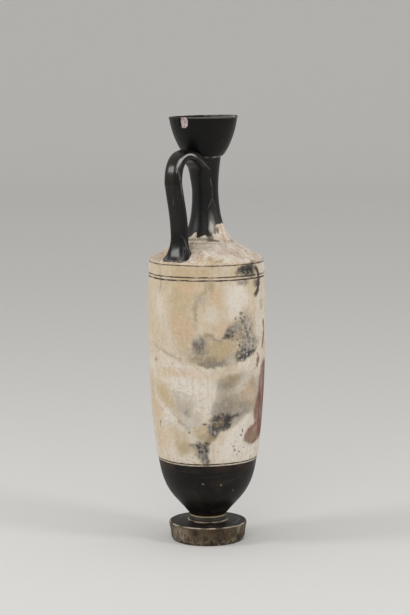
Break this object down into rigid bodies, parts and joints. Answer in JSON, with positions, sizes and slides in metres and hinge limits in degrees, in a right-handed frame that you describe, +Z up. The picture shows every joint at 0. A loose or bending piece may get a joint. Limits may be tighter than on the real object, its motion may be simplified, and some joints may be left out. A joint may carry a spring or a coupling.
{
  "type": "lekythos",
  "caption": "Tall ceramic oil jug with a disc foot, black-gloss bowl and mouth, a white-coated wall and a strap handle.",
  "frame": {"origin": "centre of the foot's resting ring, on the ground", "axes": "+Z up along the wheel axis, handle on the -X side"},
  "size_m": [0.0914, 0.0914, 0.3312],
  "materials": {
    "black_gloss": "worn black gloss slip",
    "white_ground": "matte cream slip, stained and crazed",
    "reserved_clay": "matte fired clay with mineral crust",
    "luting_slip": "matte fired slip"
  },
  "bodies": {
    "root": {"foot": "reserved_clay", "foot_lute": "luting_slip", "fillet_ring": "black_gloss", "body": "black_gloss", "white_ground": "white_ground", "neck_lute": "luting_slip", "neck": "black_gloss", "mouth_lute": "luting_slip", "mouth": "black_gloss", "handle": "black_gloss", "handle_upper_lute": "luting_slip", "handle_lower_lute": "luting_slip"}
  },
  "joints": []
}
